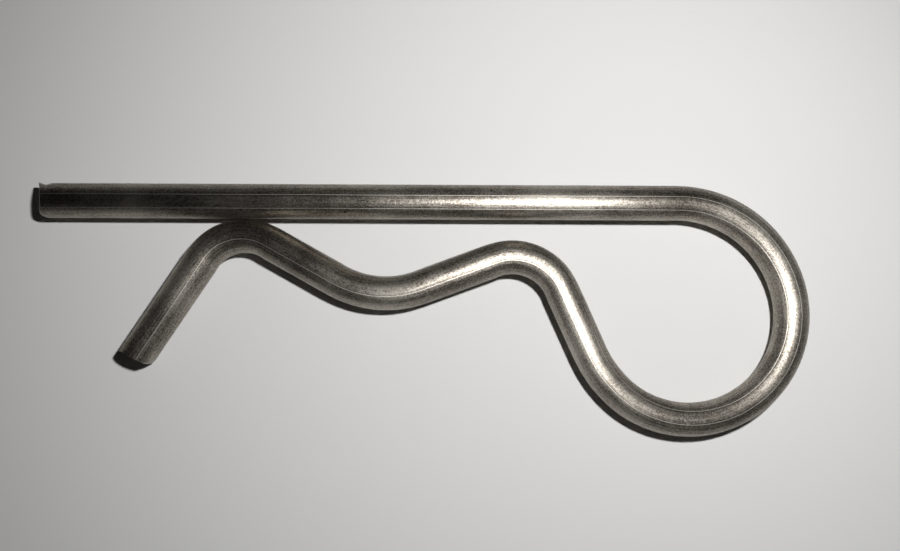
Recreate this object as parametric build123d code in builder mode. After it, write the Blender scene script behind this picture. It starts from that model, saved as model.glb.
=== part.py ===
from build123d import *
import math
import os

# Hairpin cotter, also called an R-clip: one length of round spring wire, bent in one plane.
# The straight leg goes through the cross-hole of a shaft. The sprung leg comes back over the
# loop, dips in a saddle that hugs the shaft, rises to press on the straight leg and flares
# away in a lead-in tip. Millimetres. The wire's axis lies in Z = 0 with the straight leg along
# X, and the origin is on the straight leg's axis, where the shaft's axis crosses it.

# Wire
wire_diameter = 4.0
contact_gap = 0.04  # between the straight leg and the bend that presses on it

# Straight leg
straight_run = 73.9  # free end to the start of the loop

# Loop, a round of three bends. Every radius is the inside radius of its bend.
shoulder_radius = 11.55
shoulder_turn = 76.0
side_radius = 9.95
side_turn = 145.5
foot_radius = 12.3

# Sprung leg. Every angle is a run's slope to the straight leg.
steep_angle = 65.5
hump_radius = 4.3
descent_run = 9.0
descent_angle = 20.3
saddle_radius = 9.7
seat_reach = 8.6  # straight leg's axis to the saddle's inside, the radius of the shaft it holds
rise_angle = 29.1
contact_radius = 3.85
tip_run = 14.3
tip_angle = 56.1

# Cropped ends. The blade rolls one edge over and leaves the far edge square.
crop_allowance = 1.0  # wire bent past each end and then cropped off
leg_roll = 0.8
tip_roll = 1.4
tip_tilt = 5.0  # degrees that the tip's end face is out of square

wire_radius = wire_diameter / 2
contact_drop = wire_diameter + contact_gap
saddle_drop = seat_reach + wire_radius
foot_turn = 180 + steep_angle - shoulder_turn - side_turn


def axis_radius(inside_radius):
    """Radius of the wire's axis round a bend."""
    return inside_radius + wire_radius


def bend_step(inside_radius, heading, turn):
    """How far a bend carries the wire's axis. It starts on the heading and turns left if positive."""
    radius = math.copysign(axis_radius(inside_radius), turn)
    first = math.radians(heading)
    last = math.radians(heading + turn)
    return Vector(math.sin(last) - math.sin(first), math.cos(first) - math.cos(last)) * radius


def run_step(length, heading):
    """How far a straight run carries the wire's axis."""
    angle = math.radians(heading)
    return Vector(math.cos(angle), math.sin(angle)) * length


def loop_step():
    """From the straight leg's end, round the loop, to the start of the steep run."""
    shoulder = bend_step(shoulder_radius, 0, -shoulder_turn)
    side = bend_step(side_radius, -shoulder_turn, -side_turn)
    foot = bend_step(foot_radius, -shoulder_turn - side_turn, -foot_turn)
    return shoulder + side + foot


def saddle_step():
    """From the end of the steep run, over the hump, down to the lowest point of the saddle."""
    hump = bend_step(hump_radius, 180 - steep_angle, steep_angle + descent_angle)
    descent = run_step(descent_run, 180 + descent_angle)
    saddle = bend_step(saddle_radius, 180 + descent_angle, -descent_angle)
    return hump + descent + saddle


def steep_length():
    """Length of the steep run that leaves the saddle at its drop below the straight leg."""
    drop = loop_step().Y + saddle_step().Y
    return (-saddle_drop - drop) / math.sin(math.radians(steep_angle))


def rise_length():
    """Length of the rising run that brings the contact bend up to the straight leg."""
    slope = math.radians(rise_angle)
    bends = axis_radius(saddle_radius) + axis_radius(contact_radius)
    climb = saddle_drop - contact_drop - bends * (1 - math.cos(slope))
    return climb / math.sin(slope)


def seat_to_loop():
    """Distance along the straight leg from the shaft's axis to the start of the loop."""
    steep = run_step(steep_length(), 180 - steep_angle)
    return -(loop_step() + steep + saddle_step()).X


def bend(start, inside_radius, turn):
    """Next bend of the wire's axis, tangent to the run or bend before it."""
    return JernArc(start @ 1, start % 1, axis_radius(inside_radius), turn)


def run(start, length):
    """Next straight run of the wire's axis."""
    return PolarLine(start @ 1, length, direction=start % 1)


def bend_sprung_leg(foot):
    """Axis of the sprung leg, from the loop's foot to past the tip."""
    steep = run(foot, steep_length())
    hump = bend(steep, hump_radius, steep_angle + descent_angle)
    descent = run(hump, descent_run)
    saddle = bend(descent, saddle_radius, -descent_angle - rise_angle)
    rise = run(saddle, rise_length())
    contact = bend(rise, contact_radius, rise_angle + tip_angle)
    run(contact, tip_run + crop_allowance)


def bend_wire():
    """Axis of the whole wire, from past the free end of the straight leg."""
    loop_start = seat_to_loop()
    straight = Line((loop_start - straight_run - crop_allowance, 0), (loop_start, 0))
    shoulder = bend(straight, shoulder_radius, -shoulder_turn)
    side = bend(shoulder, side_radius, -side_turn)
    foot = bend(side, foot_radius, -foot_turn)
    bend_sprung_leg(foot)


def crop(end, outward, tilt, roll_radius):
    """Cuts the wire off past an end, then rolls over the edge on the left of the way out."""
    with BuildSketch(Plane(origin=end, x_dir=outward.rotate(Axis.Z, tilt))) as blade:
        with Locations((wire_radius, 0)):
            Rectangle(wire_diameter, 2 * wire_diameter)
    extrude(blade.sketch, amount=wire_diameter, both=True, mode=Mode.SUBTRACT)
    lean = (wire_radius - roll_radius) * math.tan(math.radians(tilt))
    with BuildSketch(Plane(origin=end, x_dir=outward)) as edge:
        with Locations((-roll_radius - lean, wire_radius - roll_radius)):
            Rectangle(wire_diameter, wire_diameter, align=Align.MIN)
            Circle(roll_radius, mode=Mode.SUBTRACT)
    extrude(edge.sketch, amount=wire_diameter, both=True, mode=Mode.SUBTRACT)


with BuildPart() as hairpin_cotter:
    with BuildLine() as axis:
        bend_wire()
    free_end = axis.line @ 0 + axis.line % 0 * crop_allowance
    tip_end = axis.line @ 1 - axis.line % 1 * crop_allowance
    with BuildSketch(Plane(origin=axis.line @ 0, z_dir=axis.line % 0)):
        Circle(wire_radius)
    sweep()
    crop(free_end, -(axis.line % 0), 0, leg_roll)
    crop(tip_end, axis.line % 1, tip_tilt, tip_roll)
hairpin_cotter.part.label = "hairpin_cotter"

os.makedirs("parts", exist_ok=True)
export_step(hairpin_cotter.part, "parts/hairpin_cotter.step")
print("steep run", round(steep_length(), 3), "rising run", round(rise_length(), 3))
print("shaft axis to loop", round(seat_to_loop(), 3))
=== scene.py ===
import math

import bmesh
import bpy
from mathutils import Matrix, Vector, noise


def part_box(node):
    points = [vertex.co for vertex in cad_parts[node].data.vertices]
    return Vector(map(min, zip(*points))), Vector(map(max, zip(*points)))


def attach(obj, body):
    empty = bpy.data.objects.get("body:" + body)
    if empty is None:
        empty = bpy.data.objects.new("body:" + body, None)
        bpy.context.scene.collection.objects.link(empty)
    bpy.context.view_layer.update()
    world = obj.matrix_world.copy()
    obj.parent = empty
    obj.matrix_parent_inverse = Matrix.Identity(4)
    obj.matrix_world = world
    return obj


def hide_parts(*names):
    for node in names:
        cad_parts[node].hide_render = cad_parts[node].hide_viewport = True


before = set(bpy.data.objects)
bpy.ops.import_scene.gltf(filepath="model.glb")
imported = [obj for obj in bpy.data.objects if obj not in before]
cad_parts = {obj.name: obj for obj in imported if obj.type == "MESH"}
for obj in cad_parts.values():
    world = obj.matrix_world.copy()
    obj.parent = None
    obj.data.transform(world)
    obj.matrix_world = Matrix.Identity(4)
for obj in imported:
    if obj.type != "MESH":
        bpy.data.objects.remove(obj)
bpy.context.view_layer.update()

millimetre = 0.001
cadNode = "hairpin_cotter"
clipLow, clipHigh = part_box(cadNode)
wireRadius = (clipHigh.z - clipLow.z) / 2
floorHeight = clipLow.z
legLine = clipHigh.y - wireRadius  # the straight leg lies along the top of the box
freeEnd = Vector((clipLow.x, legLine, floorHeight + wireRadius))


def colour(hexCode, alpha=1.0):  # sRGB hex to the linear colour a shader takes
    parts = [int(hexCode[i:i + 2], 16) / 255 for i in (1, 3, 5)]
    return (*[p / 12.92 if p <= 0.04045 else ((p + 0.055) / 1.055) ** 2.4 for p in parts], alpha)


def addNode(tree, kind, feeds=None, **settings):  # a node given as a feed gives its first output
    node = tree.nodes.new(kind)
    for name, value in settings.items():
        setattr(node, name, value)
    for socket, source in (feeds or {}).items():
        if isinstance(source, bpy.types.Node):
            source = source.outputs[0]
        if isinstance(source, bpy.types.NodeSocket):
            tree.links.new(source, node.inputs[socket])
        else:
            node.inputs[socket].default_value = source
    return node


def newMaterial(name):
    material = bpy.data.materials.new(name)
    material.use_nodes = True
    material.node_tree.nodes.clear()
    return material, material.node_tree


# The bends of the clip, as they are set on the bending pins: a radius is the pin's, so it is
# the inside of the bend, and lengths are in millimetres.
bends = {
    "straightLeg": 73.9,
    "shoulderRadius": 11.55,
    "shoulderTurn": 76.0,
    "loopSideRadius": 9.95,
    "loopSideTurn": 145.5,
    "loopFootRadius": 12.3,
    "steepAngle": 65.5,
    "humpRadius": 4.3,
    "descentLength": 9.0,
    "descentAngle": 20.3,
    "saddleRadius": 9.7,
    "seatReach": 8.6,
    "riseAngle": 29.1,
    "contactRadius": 3.85,
    "contactGap": 0.04,
    "tipLength": 14.3,
    "tipAngle": 56.1,
}


# The drawn wire itself: a round bar swept along the bends. A bend squeezes the section a little
# in its own plane, as a wire that is wound round a pin does. An arc of the curve spans at most
# widestArc degrees, in curveSteps steps.
drawnWire = {
    "widestArc": 60.0,
    "curveSteps": 64,
    "ringSpacing": 0.24 * millimetre,
    "ringPoints": 96,
    "bendSqueeze": 0.035,
}


def axisRadius(insideRadius):
    return insideRadius * millimetre + wireRadius


def bendStep(insideRadius, heading, turn):  # from a bend's start to its end, along the wire
    radius = math.copysign(axisRadius(insideRadius), turn)
    start, end = math.radians(heading), math.radians(heading + turn)
    return Vector((math.sin(end) - math.sin(start), math.cos(start) - math.cos(end))) * radius


def runStep(length, heading):
    angle = math.radians(heading)
    return Vector((math.cos(angle), math.sin(angle))) * length


def bendingOrder(b):
    loopFootTurn = 180 + b["steepAngle"] - b["shoulderTurn"] - b["loopSideTurn"]
    steepHeading = 180 - b["steepAngle"]
    loopStep = bendStep(b["shoulderRadius"], 0, -b["shoulderTurn"])
    loopStep += bendStep(b["loopSideRadius"], -b["shoulderTurn"], -b["loopSideTurn"])
    loopStep += bendStep(b["loopFootRadius"], steepHeading + loopFootTurn - 360, -loopFootTurn)
    saddleStep = bendStep(b["humpRadius"], steepHeading, b["steepAngle"] + b["descentAngle"])
    saddleStep += runStep(b["descentLength"] * millimetre, 180 + b["descentAngle"])
    saddleStep += bendStep(b["saddleRadius"], 180 + b["descentAngle"], -b["descentAngle"])
    saddleDrop = b["seatReach"] * millimetre + wireRadius  # from the leg's line to the saddle's
    contactDrop = b["contactGap"] * millimetre + 2 * wireRadius
    steepDrop = saddleDrop + loopStep.y + saddleStep.y
    steepLength = -steepDrop / math.sin(math.radians(b["steepAngle"]))
    rise = math.radians(b["riseAngle"])
    curvesDrop = (axisRadius(b["saddleRadius"]) + axisRadius(b["contactRadius"])) * (1 - math.cos(rise))
    riseLength = (saddleDrop - contactDrop - curvesDrop) / math.sin(rise)
    return [
        ("run", b["straightLeg"] * millimetre),
        ("bend", b["shoulderRadius"], -b["shoulderTurn"]),
        ("bend", b["loopSideRadius"], -b["loopSideTurn"]),
        ("bend", b["loopFootRadius"], -loopFootTurn),
        ("run", steepLength),
        ("bend", b["humpRadius"], b["steepAngle"] + b["descentAngle"]),
        ("run", b["descentLength"] * millimetre),
        ("bend", b["saddleRadius"], -b["descentAngle"] - b["riseAngle"]),
        ("run", riseLength),
        ("bend", b["contactRadius"], b["riseAngle"] + b["tipAngle"]),
        ("run", b["tipLength"] * millimetre),
    ]


def wireKnots(order, start):  # the wire's axis as knots: place, direction, handle back, handle on
    place, heading = Vector(start), 0.0
    knots = [[place.copy(), runStep(1, heading).to_3d(), 0.0, 0.0]]
    for kind, size, *turn in order:
        pieces = math.ceil(abs(turn[0]) / drawnWire["widestArc"]) if turn else 1
        for _ in range(pieces):
            if kind == "run":
                place += runStep(size, heading).to_3d()
                handle = size / 3
            else:
                part = turn[0] / pieces
                place += bendStep(size, heading, part).to_3d()
                heading += part
                handle = 4 / 3 * math.tan(math.radians(abs(part)) / 4) * axisRadius(size)
            knots[-1][3] = handle
            knots.append([place.copy(), runStep(1, heading).to_3d(), handle, 0.0])
    return knots


def wireCurve(name, knots):
    data = bpy.data.curves.new(name, "CURVE")
    data.dimensions = "3D"
    data.resolution_u = drawnWire["curveSteps"]
    spline = data.splines.new("BEZIER")
    spline.bezier_points.add(len(knots) - 1)
    for point, (place, direction, back, on) in zip(spline.bezier_points, knots):
        point.handle_left_type = point.handle_right_type = "FREE"
        point.co = place
        point.handle_left = place - direction * (back or on)
        point.handle_right = place + direction * (on or back)
    piece = bpy.data.objects.new(name, data)
    bpy.context.scene.collection.objects.link(piece)
    return piece


def sweepTree(name):
    tree = bpy.data.node_groups.new(name, "GeometryNodeTree")
    sockets = {}
    for label, kind, way in (
        ("Geometry", "NodeSocketGeometry", "INPUT"),
        ("Wire radius", "NodeSocketFloat", "INPUT"),
        ("Ring spacing", "NodeSocketFloat", "INPUT"),
        ("Ring points", "NodeSocketInt", "INPUT"),
        ("Bend squeeze", "NodeSocketFloat", "INPUT"),
        ("Material", "NodeSocketMaterial", "INPUT"),
        ("Geometry", "NodeSocketGeometry", "OUTPUT"),
    ):
        item = tree.interface.new_socket(name=label, in_out=way, socket_type=kind)
        if way == "INPUT":
            sockets[label] = item.identifier
    given = addNode(tree, "NodeGroupInput").outputs
    line = addNode(tree, "GeometryNodeResampleCurve", {
        "Curve": given["Geometry"],
        "Length": given["Ring spacing"],
    }, mode="LENGTH")
    ring = addNode(tree, "GeometryNodeCurvePrimitiveCircle", {
        "Resolution": given["Ring points"],
        "Radius": given["Wire radius"],
    })

    # How sharply the wire turns at each ring: how far the directions of the two rings beside it
    # swing apart, for each ring spacing. The two stand two spacings apart, so it is twice the turn.
    index = addNode(tree, "GeometryNodeInputIndex").outputs[0]
    count = addNode(tree, "GeometryNodeAttributeDomainSize", {
        "Geometry": line,
    }, component="CURVE").outputs["Point Count"]
    last = addNode(tree, "ShaderNodeMath", {0: count, 1: 1.0}, operation="SUBTRACT")
    direction = addNode(tree, "GeometryNodeInputTangent").outputs[0]
    beside = []
    for step, bound, keep in ((1.0, last.outputs[0], "MINIMUM"), (-1.0, 0.0, "MAXIMUM")):
        moved = addNode(tree, "ShaderNodeMath", {0: index, 1: step}, operation="ADD")
        kept = addNode(tree, "ShaderNodeMath", {0: moved.outputs[0], 1: bound}, operation=keep)
        beside.append(addNode(tree, "GeometryNodeFieldAtIndex", {
            "Index": kept.outputs[0],
            "Value": direction,
        }, data_type="FLOAT_VECTOR", domain="POINT").outputs[0])
    swing = addNode(tree, "ShaderNodeVectorMath", {0: beside[0], 1: beside[1]}, operation="DISTANCE")
    share = addNode(tree, "ShaderNodeMath", {
        0: swing.outputs["Value"],
        1: given["Ring spacing"],
    }, operation="DIVIDE")
    sharpness = addNode(tree, "ShaderNodeMath", {
        0: share.outputs[0],
        1: given["Wire radius"],
    }, operation="MULTIPLY")

    along = addNode(tree, "GeometryNodeSplineParameter").outputs["Length"]
    normal = addNode(tree, "GeometryNodeInputNormal").outputs[0]
    track = addNode(tree, "GeometryNodeCaptureAttribute", {"Geometry": line.outputs[0]}, domain="POINT")
    for label, kind, source in (
        ("Along", "FLOAT", along),
        ("Direction", "VECTOR", direction),
        ("Sideways", "VECTOR", normal),
        ("Sharpness", "FLOAT", sharpness.outputs[0]),
    ):
        track.capture_items.new(kind, label)
        tree.links.new(source, track.inputs[label])
    section = addNode(tree, "GeometryNodeCaptureAttribute", {"Geometry": ring.outputs[0]}, domain="POINT")
    section.capture_items.new("VECTOR", "Place")
    tree.links.new(addNode(tree, "GeometryNodeInputPosition").outputs[0], section.inputs["Place"])

    sweep = addNode(tree, "GeometryNodeCurveToMesh", {
        "Curve": track.outputs["Geometry"],
        "Profile Curve": section.outputs["Geometry"],
        "Fill Caps": False,
    })
    place = addNode(tree, "ShaderNodeSeparateXYZ", {0: section.outputs["Place"]})

    # The squeeze in the plane of a bend, which is the section's own sideways direction
    squeeze = addNode(tree, "ShaderNodeMath", {
        0: track.outputs["Sharpness"],
        1: given["Bend squeeze"],
    }, operation="MULTIPLY")
    inward = addNode(tree, "ShaderNodeMath", {
        0: squeeze.outputs[0],
        1: place.outputs["X"],
    }, operation="MULTIPLY")
    back = addNode(tree, "ShaderNodeMath", {0: inward.outputs[0], 1: -1.0}, operation="MULTIPLY")
    push = addNode(tree, "ShaderNodeVectorMath", {
        0: track.outputs["Sideways"],
        "Scale": back.outputs[0],
    }, operation="SCALE")
    squeezed = addNode(tree, "GeometryNodeSetPosition", {
        "Geometry": sweep.outputs[0],
        "Offset": push.outputs[0],
    })

    # The wire laid out straight: how far along, how far left of its way, how far up
    left = addNode(tree, "ShaderNodeMath", {0: place.outputs["X"], 1: -1.0}, operation="MULTIPLY")
    up = addNode(tree, "ShaderNodeMath", {0: place.outputs["Y"], 1: -1.0}, operation="MULTIPLY")
    laid = addNode(tree, "ShaderNodeCombineXYZ", {
        0: track.outputs["Along"],
        1: left.outputs[0],
        2: up.outputs[0],
    })
    shape = squeezed.outputs[0]
    for label, source in (("laidStraight", laid.outputs[0]), ("alongWire", track.outputs["Direction"])):
        shape = addNode(tree, "GeometryNodeStoreNamedAttribute", {
            "Geometry": shape,
            "Name": label,
            "Value": source,
        }, data_type="FLOAT_VECTOR", domain="POINT").outputs[0]
    smooth = addNode(tree, "GeometryNodeSetShadeSmooth", {"Geometry": shape})
    real = addNode(tree, "GeometryNodeRealizeInstances", {"Geometry": smooth.outputs[0]})
    dressed = addNode(tree, "GeometryNodeSetMaterial", {
        "Geometry": real.outputs[0],
        "Material": given["Material"],
    })
    addNode(tree, "NodeGroupOutput", {"Geometry": dressed.outputs[0]})
    return tree, sockets


def sweptMesh(curve, material, sizes):
    tree, sockets = sweepTree("sweepWire")
    modifier = curve.modifiers.new("sweep", "NODES")
    modifier.node_group = tree
    for label, value in (
        ("Wire radius", wireRadius),
        ("Ring spacing", sizes["ringSpacing"]),
        ("Ring points", sizes["ringPoints"]),
        ("Bend squeeze", sizes["bendSqueeze"]),
        ("Material", material),
    ):
        modifier[sockets[label]] = value
    view = bpy.context.evaluated_depsgraph_get()
    mesh = bpy.data.meshes.new_from_object(curve.evaluated_get(view))
    bpy.data.objects.remove(curve)
    return mesh


# Bare spring steel wire, cold drawn and then tumbled: a dull grey-brown metal. Drawing leaves fine
# lines along it, so its highlight spreads across the wire, and tumbling leaves a salt-and-pepper
# grain. The sizes of the grain and the streaks were chosen, and real ones may be finer.
steelLook = {
    "light": "#b3ada3",
    "dark": "#665f56",
    "darkBelow": 0.5,
    "lightAbove": 0.7,
    "freshMetalHighlight": "#e6e1d8",
    "darkening": "#2b261f",
    "roughness": 0.385,
    "smoother": 0.03,
    "rougher": 0.04,
    "spread": 0.62,
    "spreadTurn": 0.25,
    "grainSize": 0.19 * millimetre,
    "grainDepth": 0.014 * millimetre,
    "grainShare": 0.55,
    "streakWidth": 0.22 * millimetre,
    "streakLength": 9.0 * millimetre,
    "streakDepth": 0.005 * millimetre,
    "streakShare": 0.3,
    "patinaSize": 7.0 * millimetre,
    "patinaShare": 0.35,
    "patinaThin": 0.3,
    "patinaThick": 0.7,
    "pitSpacing": 1.5 * millimetre,
    "pitSize": 0.11,
    "pitDepth": 0.006 * millimetre,
    "pitRarity": 0.72,
    "nickSpacing": 0.9 * millimetre,
    "nickStretch": 6.0,
    "nickRarity": 0.86,
    "markDarkening": 0.8,
}

# Two lines that the die scored along the whole wire, each a bright line with a dark one beside it.
# The bright line is painted as fresh metal with a painted highlight, and the dark one is painted
# shade, as the groove's two flanks would catch and miss the light. Each has its angle from the top
# of the wire, towards the left of its way, over the straight leg, past the loop and at the tip, in
# radians, and where it fades out, in millimetres along the wire.
dieLines = {
    "halfWidth": 0.024,
    "depth": 0.006 * millimetre,
    "loopFrom": 74 * millimetre,
    "loopTo": 130 * millimetre,
    "tipFrom": 165 * millimetre,
    "tipTo": 196 * millimetre,
    "fadeLength": 12,
    "wander": 0.05,
    "wanderLength": 22 * millimetre,
    "paintedHighlight": 0.9,
    "roughness": 0.12,
    "darkening": 0.55,
    "lines": (
        {"onLeg": 0.24, "pastLoop": 0.26, "atTip": 0.33, "lightSide": 1.0, "fades": 400.0},
        {"onLeg": -0.55, "pastLoop": -0.58, "atTip": -0.58, "lightSide": -1.0, "fades": 128.0},
    ),
}


def dieLine(tree, along, angle, wander, line):
    drift = addNode(tree, "ShaderNodeMapRange", {
        "Value": along,
        "From Min": dieLines["loopFrom"],
        "From Max": dieLines["loopTo"],
        "To Min": line["onLeg"],
        "To Max": line["pastLoop"],
    })
    turn = addNode(tree, "ShaderNodeMapRange", {
        "Value": along,
        "From Min": dieLines["tipFrom"],
        "From Max": dieLines["tipTo"],
        "To Min": 0.0,
        "To Max": line["atTip"] - line["pastLoop"],
    })
    strength = addNode(tree, "ShaderNodeMapRange", {
        "Value": along,
        "From Min": line["fades"] * millimetre,
        "From Max": (line["fades"] + dieLines["fadeLength"]) * millimetre,
        "To Min": 1.0,
        "To Max": 0.0,
    })
    place = addNode(tree, "ShaderNodeMath", {0: drift, 1: turn}, operation="ADD")
    shaken = addNode(tree, "ShaderNodeMath", {0: wander, 1: dieLines["wander"]}, operation="MULTIPLY")
    away = addNode(tree, "ShaderNodeMath", {0: angle, 1: place}, operation="SUBTRACT")
    away = addNode(tree, "ShaderNodeMath", {0: away, 1: shaken}, operation="SUBTRACT")
    bands = []
    # The first band is the bright line, painted as fresh metal with a painted highlight; the second is the
    # dark line beside it, painted shade
    for centre in (0.0, -2.0 * dieLines["halfWidth"] * line["lightSide"]):
        gap = addNode(tree, "ShaderNodeMath", {0: away, 1: centre}, operation="SUBTRACT")
        gap = addNode(tree, "ShaderNodeMath", {0: gap}, operation="ABSOLUTE")
        band = addNode(tree, "ShaderNodeMapRange", {
            "Value": gap,
            "From Min": 0.0,
            "From Max": dieLines["halfWidth"],
            "To Min": 1.0,
            "To Max": 0.0,
        }, interpolation_type="SMOOTHSTEP")
        bands.append(addNode(tree, "ShaderNodeMath", {0: band, 1: strength}, operation="MULTIPLY"))
    return bands


def steelMaterial(look):
    material, tree = newMaterial("drawnSpringSteel")
    laid = addNode(tree, "ShaderNodeAttribute", attribute_name="laidStraight").outputs["Vector"]
    way = addNode(tree, "ShaderNodeAttribute", attribute_name="alongWire").outputs["Vector"]
    parts = addNode(tree, "ShaderNodeSeparateXYZ", {0: laid}).outputs
    angle = addNode(tree, "ShaderNodeMath", {0: parts["Y"], 1: parts["Z"]}, operation="ARCTAN2")

    stretch = addNode(tree, "ShaderNodeMapping", {
        "Vector": laid,
        "Scale": (look["streakWidth"] / look["streakLength"], 1, 1),
    })
    grain, streaks, patina = [addNode(tree, "ShaderNodeTexNoise", {
        "Vector": place,
        "Scale": 1 / size,
        "Detail": detail,
        "Roughness": roughness,
    }) for place, size, detail, roughness in (
        (laid, look["grainSize"], 2.0, 0.65),
        (stretch, look["streakWidth"], 3.0, 0.6),
        (laid, look["patinaSize"], 4.0, 0.6),
    )]
    wander = addNode(tree, "ShaderNodeTexNoise", {
        "W": parts["X"],
        "Scale": 1 / dieLines["wanderLength"],
        "Detail": 1.0,
    }, noise_dimensions="1D")
    wander = addNode(tree, "ShaderNodeMath", {0: wander, 1: 0.5}, operation="SUBTRACT")

    # Pits and short nicks stand in a few cells only, picked by each cell's own random colour. They are sunk
    # and also darkened in colour.
    pits = addNode(tree, "ShaderNodeTexVoronoi", {"Vector": laid, "Scale": 1 / look["pitSpacing"]})
    nickWay = addNode(tree, "ShaderNodeMapping", {
        "Vector": laid,
        "Scale": (1 / look["nickStretch"], 1, 1),
    })
    nicks = addNode(tree, "ShaderNodeTexVoronoi", {"Vector": nickWay, "Scale": 1 / look["nickSpacing"]})
    marks = []
    for cells, rarity in ((pits, look["pitRarity"]), (nicks, look["nickRarity"])):
        chance = addNode(tree, "ShaderNodeSeparateColor", {0: cells.outputs["Color"]})
        chosen = addNode(tree, "ShaderNodeMath", {0: chance, 1: rarity}, operation="GREATER_THAN")
        spot = addNode(tree, "ShaderNodeMapRange", {
            "Value": cells.outputs["Distance"],
            "From Min": look["pitSize"] / 2,
            "From Max": look["pitSize"],
            "To Min": 1.0,
            "To Max": 0.0,
        })
        marks.append(addNode(tree, "ShaderNodeMath", {0: spot, 1: chosen}, operation="MULTIPLY"))
    bands = [dieLine(tree, parts["X"], angle, wander, line) for line in dieLines["lines"]]
    mark, scored, shaded = [
        addNode(tree, "ShaderNodeMath", {0: first, 1: second}, operation="MAXIMUM")
        for first, second in (marks, *zip(*bands))
    ]

    share = 0.0
    for layer, weight in (
        (grain, look["grainShare"]),
        (streaks, look["streakShare"]),
        (patina, look["patinaShare"]),
    ):
        share = addNode(tree, "ShaderNodeMath", {
            0: layer,
            1: weight,
            2: share,
        }, operation="MULTIPLY_ADD")
    share = addNode(tree, "ShaderNodeMapRange", {
        "Value": share,
        "From Min": look["darkBelow"],
        "From Max": look["lightAbove"],
    })
    tone = colour(look["dark"])
    # The pits and nicks are darkened in colour. The die lines' dark sides are painted shade, and their
    # bright sides are fresh metal with a painted highlight.
    for mask, strength, over in (
        (share, 1.0, look["light"]),
        (mark, look["markDarkening"], look["darkening"]),
        (shaded, dieLines["darkening"], look["darkening"]),
        (scored, dieLines["paintedHighlight"], look["freshMetalHighlight"]),
    ):
        cover = addNode(tree, "ShaderNodeMath", {0: mask, 1: strength}, operation="MULTIPLY")
        tone = addNode(tree, "ShaderNodeMix", {
            "Factor": cover,
            6: tone,
            7: colour(over),
        }, data_type="RGBA").outputs[2]
    rough = addNode(tree, "ShaderNodeMapRange", {
        "Value": patina,
        "From Min": look["patinaThin"],
        "From Max": look["patinaThick"],
        "To Min": look["roughness"] - look["smoother"],
        "To Max": look["roughness"] + look["rougher"],
    })
    rough = addNode(tree, "ShaderNodeMath", {
        0: scored,
        1: dieLines["roughness"],
        2: rough,
    }, operation="MULTIPLY_ADD")

    relief = addNode(tree, "ShaderNodeMath", {0: scored, 1: shaded}, operation="SUBTRACT")
    hollow = addNode(tree, "ShaderNodeMath", {0: mark, 1: -1.0}, operation="MULTIPLY")
    under = {}
    for height, depth in (
        (grain, look["grainDepth"]),
        (streaks, look["streakDepth"]),
        (relief, dieLines["depth"]),
        (hollow, look["pitDepth"]),
    ):
        normal = addNode(tree, "ShaderNodeBump", {
            "Height": height,
            "Distance": depth,
            "Strength": 1.0,
            **under,
        })
        under = {"Normal": normal}
    shader = addNode(tree, "ShaderNodeBsdfPrincipled", {
        "Base Color": tone,
        "Metallic": 1.0,
        "Roughness": rough,
        "Anisotropic": look["spread"],
        "Anisotropic Rotation": look["spreadTurn"],
        "Tangent": way,
        "Normal": normal,
    })
    addNode(tree, "ShaderNodeOutputMaterial", {"Surface": shader})
    return material


# The two ends are sheared off. The blade comes in at the left of the way out: it rolls that edge
# over, leaves a torn face, and lifts a small burr at the far side. Lengths are in millimetres and
# angles in degrees, and burrFrom and dentFrom are shares of the radius, off to the far side.
ends = {
    "closerRings": 8.0,
    "closeness": 1.7,
    "reach": 3.0,
    "faceRings": (0.985, 0.95, 0.9, 0.83, 0.75, 0.66, 0.56, 0.45, 0.34, 0.23, 0.12),
    "tear": 0.05,
    "fineTear": 0.02,
    "tearWithin": 0.97,
    "tearsAside": 900,
    "tearsAbove": 2600,
    "burr": 0.1,
    "burrFrom": 0.7,
    "dentPlace": 0.9,
    "dentWidth": 0.45,
    "dentFrom": 0.3,
    "lipWidth": 0.35,
    "crispEdge": 35,
    "free": {"rollAlong": 1.25, "rollAcross": 0.8, "tilt": 0.0, "lean": 25.0, "dent": 0.1, "lip": 0.02},
    "tip": {"rollAlong": 1.9, "rollAcross": 0.75, "tilt": 6.0, "lean": 7.0, "dent": 0.0, "lip": 0.0},
}


def pastShare(share, start):  # 0 up to the start, and 1 at the wire's edge
    return min(max((share - start) / (1 - start), 0), 1)


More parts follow.
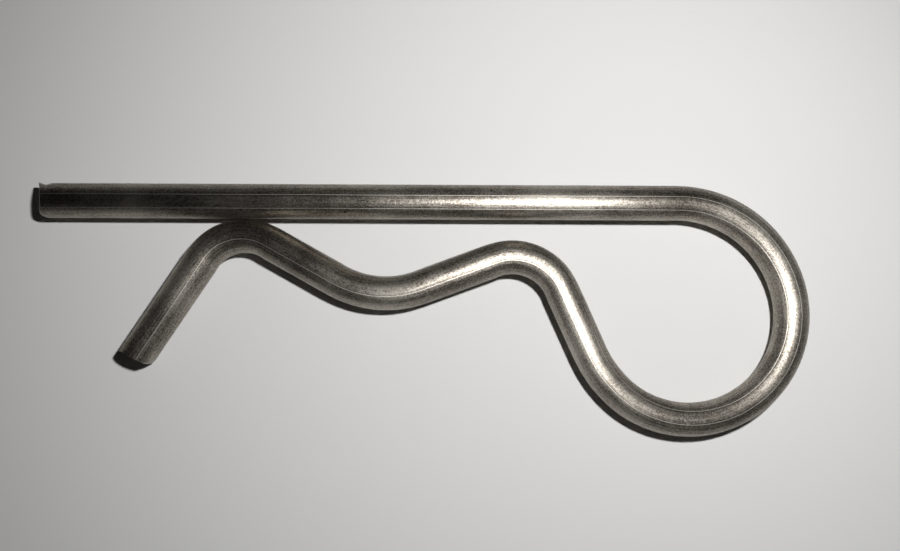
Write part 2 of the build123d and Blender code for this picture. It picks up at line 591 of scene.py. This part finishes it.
def closeEnd(work, laid, way, rim, wireLength, cut):
    verts = list({v for e in rim for v in e.verts})
    atStart = verts[0][laid].x < wireLength / 2
    middle = sum((v.co for v in verts), Vector()) / len(verts)
    outward = verts[0][way].normalized() * (-1 if atStart else 1)
    left = Vector((0, 0, 1)).cross(outward)
    inward = 1 if atStart else -1

    def depthOf(v):
        return v[laid].x if atStart else wireLength - v[laid].x

    # Rings stand closer together towards the end
    close = ends["closerRings"] * millimetre
    for v in work.verts:
        depth = depthOf(v)
        if depth < close:
            nearer = close * (max(depth, 0) / close) ** ends["closeness"]
            v.co += outward * (depth - nearer)
            v[laid] += Vector(((nearer - depth) * inward, 0, 0))
    ring = rim
    for factor in ends["faceRings"]:
        made = bmesh.ops.extrude_edge_only(work, edges=ring)["geom"]
        fresh = {g for g in made if isinstance(g, bmesh.types.BMVert)}
        ring = [g for g in made if isinstance(g, bmesh.types.BMEdge) and set(g.verts) <= fresh]
        wide = max((v.co - middle).length for v in fresh)
        for v in fresh:
            shrink = wireRadius * factor / wide
            v.co = middle + (v.co - middle) * shrink
            v[laid] = Vector((v[laid].x, v[laid].y * shrink, v[laid].z * shrink))
            v[way] = left
    bmesh.ops.contextual_create(work, geom=ring)

    reach = ends["reach"] * millimetre
    rollAlong, rollAcross = cut["rollAlong"] * millimetre, cut["rollAcross"] * millimetre
    for v in work.verts:
        depth = depthOf(v)
        if depth > reach:
            continue
        aside = (v.co - middle).dot(left)
        above = v.co.z - middle.z
        rolled = min(max((aside - wireRadius + rollAcross) / rollAcross, 0), 1)
        start = rollAlong * (1 - math.sqrt(max(1 - rolled * rolled, 0)))
        start += (aside + wireRadius) * math.tan(math.radians(cut["tilt"]))
        start += max(above, 0) * math.tan(math.radians(cut["lean"]))
        start -= ends["burr"] * millimetre * pastShare(-aside / wireRadius, ends["burrFrom"]) ** 2
        if depth < 1e-7 and math.hypot(aside, above) < ends["tearWithin"] * wireRadius:
            spot = Vector((aside * ends["tearsAside"], above * ends["tearsAbove"], 3.0))
            start += noise.noise(spot) * ends["tear"] * millimetre
            start += noise.noise(spot * 3) * ends["fineTear"] * millimetre
        shift = start * (1 - depth / reach)
        pinch = math.exp(-((depth / millimetre - ends["dentPlace"]) / ends["dentWidth"]) ** 2) * cut["dent"]
        lip = math.exp(-(depth / millimetre / ends["lipWidth"]) ** 2) * cut["lip"]
        side = pastShare(-aside / wireRadius, ends["dentFrom"])
        v.co += -outward * shift - left * aside * (pinch - lip) * side
        v[laid] += Vector((shift * inward, 0, 0))


def closeEnds(mesh):
    work = bmesh.new()
    work.from_mesh(mesh)
    laid = work.verts.layers.float_vector["laidStraight"]
    way = work.verts.layers.float_vector["alongWire"]
    wireLength = max(v[laid].x for v in work.verts)
    rims = {}
    for edge in work.edges:
        if edge.is_boundary:
            rims.setdefault(edge.verts[0][laid].x > wireLength / 2, []).append(edge)
    closeEnd(work, laid, way, rims[False], wireLength, ends["free"])
    closeEnd(work, laid, way, rims[True], wireLength, ends["tip"])
    bmesh.ops.recalc_face_normals(work, faces=work.faces)
    for face in work.faces:
        face.smooth = True
    for edge in work.edges:  # the sheared edge stays crisp
        if len(edge.link_faces) == 2 and edge.calc_face_angle(0) > math.radians(ends["crispEdge"]):
            edge.smooth = False
    work.to_mesh(mesh)
    work.free()


steel = steelMaterial(steelLook)
knots = wireKnots(bendingOrder(bends), freeEnd)
wireMesh = sweptMesh(wireCurve("wireLine", knots), steel, drawnWire)
print("wire swept: %d faces" % len(wireMesh.polygons))
closeEnds(wireMesh)
wirePiece = bpy.data.objects.new("bent_wire", wireMesh)
bpy.context.scene.collection.objects.link(wirePiece)
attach(wirePiece, "root")
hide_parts(cadNode)
print("ends closed: %d faces" % len(wireMesh.polygons))


# The table under it: plain white uncoated paper, which scatters light evenly. Beyond the reach of
# the flash it keeps a pale tone, so that a low view and the metal see a pale table to its far edge.
paper = {
    "tone": "#f0efed",
    "roughness": 0.9,
    "gloss": 0.1,
    "farTone": "#b3b2b0",
    "size": 4.0,
    "farFrom": 0.062,
    "farFull": 0.13,
}


def paperFloor():
    material, tree = newMaterial("whitePaper")
    middle = (clipLow + clipHigh) / 2
    near = addNode(tree, "ShaderNodeBsdfPrincipled", {
        "Base Color": colour(paper["tone"]),
        "Roughness": paper["roughness"],
        "Specular IOR Level": paper["gloss"],
    })
    far = addNode(tree, "ShaderNodeEmission", {"Color": colour(paper["farTone"])})
    place = addNode(tree, "ShaderNodeTexCoord").outputs["Object"]
    away = addNode(tree, "ShaderNodeVectorMath", {
        0: place,
        1: (middle.x, middle.y, floorHeight),
    }, operation="DISTANCE").outputs["Value"]
    fade = addNode(tree, "ShaderNodeMapRange", {
        "Value": away,
        "From Min": paper["farFrom"],
        "From Max": paper["farFull"],
    }, interpolation_type="SMOOTHSTEP")

    # Only what the camera, gloss and glass look at has the far tone, so it lights nothing
    path = addNode(tree, "ShaderNodeLightPath").outputs
    seen = path["Is Camera Ray"]
    for ray in ("Is Glossy Ray", "Is Transmission Ray"):
        seen = addNode(tree, "ShaderNodeMath", {0: seen, 1: path[ray]}, operation="MAXIMUM")
    share = addNode(tree, "ShaderNodeMath", {0: fade, 1: seen}, operation="MULTIPLY")
    both = addNode(tree, "ShaderNodeMixShader", {0: share, 1: near, 2: far})
    addNode(tree, "ShaderNodeOutputMaterial", {"Surface": both})
    work = bmesh.new()
    bmesh.ops.create_grid(work, x_segments=1, y_segments=1, size=paper["size"])
    bmesh.ops.translate(work, verts=work.verts, vec=(middle.x, middle.y, floorHeight))
    mesh = bpy.data.meshes.new("paper")
    work.to_mesh(mesh)
    work.free()
    mesh.materials.append(material)
    floor = bpy.data.objects.new("paper", mesh)
    bpy.context.scene.collection.objects.link(floor)


paperFloor()
print("paper laid")

# The camera looks straight down at close range. Its frame is shifted, so that the lens stands
# below the frame's middle: the highlights then fall across the wire where they should.
camera = {
    "right": 3.07 * millimetre,
    "up": -3.95 * millimetre,
    "height": 103.6 * millimetre,
    "roll": 0.258,
    "lens": 35.68,
    "shiftUp": 0.0765,
    "sensorWidth": 36,
    "nearest": 0.005,
}


def addCamera(c):
    middle = (clipLow + clipHigh) / 2
    data = bpy.data.cameras.new("camera")
    data.lens = c["lens"]
    data.sensor_width = c["sensorWidth"]
    data.shift_y = c["shiftUp"]
    data.clip_start = c["nearest"]
    holder = bpy.data.objects.new("camera", data)
    holder.location = middle + Vector((c["right"], c["up"], c["height"]))
    holder.rotation_euler = (0, 0, math.radians(c["roll"]))
    bpy.context.scene.collection.objects.link(holder)
    bpy.context.scene.camera = holder
    return holder.location.copy()


eye = addCamera(camera)
print("camera placed")

# A small flash beside the lens, as two lamps, which a real one is not. The tube lights only matt
# surfaces, so it lights the paper and throws the shadows. The face shows only in gloss, so it is
# what the metal mirrors. Lengths are from the lens, in millimetres.
flash = {
    "tube": {"right": 27.0, "up": 29.0, "radius": 4.0, "power": 0.42, "mirrored": False},
    "face": {"right": 19.5, "up": 5.0, "radius": 6.0, "power": 0.38, "mirrored": True},
    "aimRight": 12.0,
    "aimUp": -4.0,
    "beam": 130.0,
}


def addFlash(name, lamp):
    data = bpy.data.lights.new(name, "SPOT")
    data.shadow_soft_size = lamp["radius"] * millimetre
    data.spot_size = math.radians(flash["beam"])
    data.spot_blend = 1.0
    data.energy = lamp["power"]
    holder = bpy.data.objects.new(name, data)
    holder.location = eye + Vector((lamp["right"], lamp["up"], 0)) * millimetre
    target = Vector((eye.x, eye.y, floorHeight))
    target += Vector((flash["aimRight"], flash["aimUp"], 0)) * millimetre
    holder.rotation_euler = (target - holder.location).to_track_quat("-Z", "Y").to_euler()
    holder.visible_camera = False
    holder.visible_diffuse = not lamp["mirrored"]
    holder.visible_glossy = lamp["mirrored"]
    bpy.context.scene.collection.objects.link(holder)


addFlash("flashTube", flash["tube"])
addFlash("flashFace", flash["face"])
print("flash placed")


# The room: pale at the height of the table, and dark above it. Each tone stands at a height, as
# the sine of its angle above the table.
roomTones = (
    (0.0, "#b3b2b0"),
    (0.05, "#a09f9d"),
    (0.16, "#343332"),
    (0.4, "#11100f"),
    (1.0, "#070706"),
)


def addRoom():
    world = bpy.data.worlds.new("room")
    world.use_nodes = True
    bpy.context.scene.world = world
    tree = world.node_tree
    tree.nodes.clear()
    way = addNode(tree, "ShaderNodeTexCoord").outputs["Generated"]
    height = addNode(tree, "ShaderNodeSeparateXYZ", {0: way}).outputs["Z"]
    tone = addNode(tree, "ShaderNodeValToRGB", {0: height})
    marks = tone.color_ramp.elements
    marks.remove(marks[1])
    marks[0].position, marks[0].color = roomTones[0][0], colour(roomTones[0][1])
    for place, shade in roomTones[1:]:
        marks.new(place).color = colour(shade)
    light = addNode(tree, "ShaderNodeBackground", {"Color": tone})
    addNode(tree, "ShaderNodeOutputWorld", {"Surface": light})


addRoom()
print("room lit")
bpy.context.scene.view_settings.view_transform = "Standard"
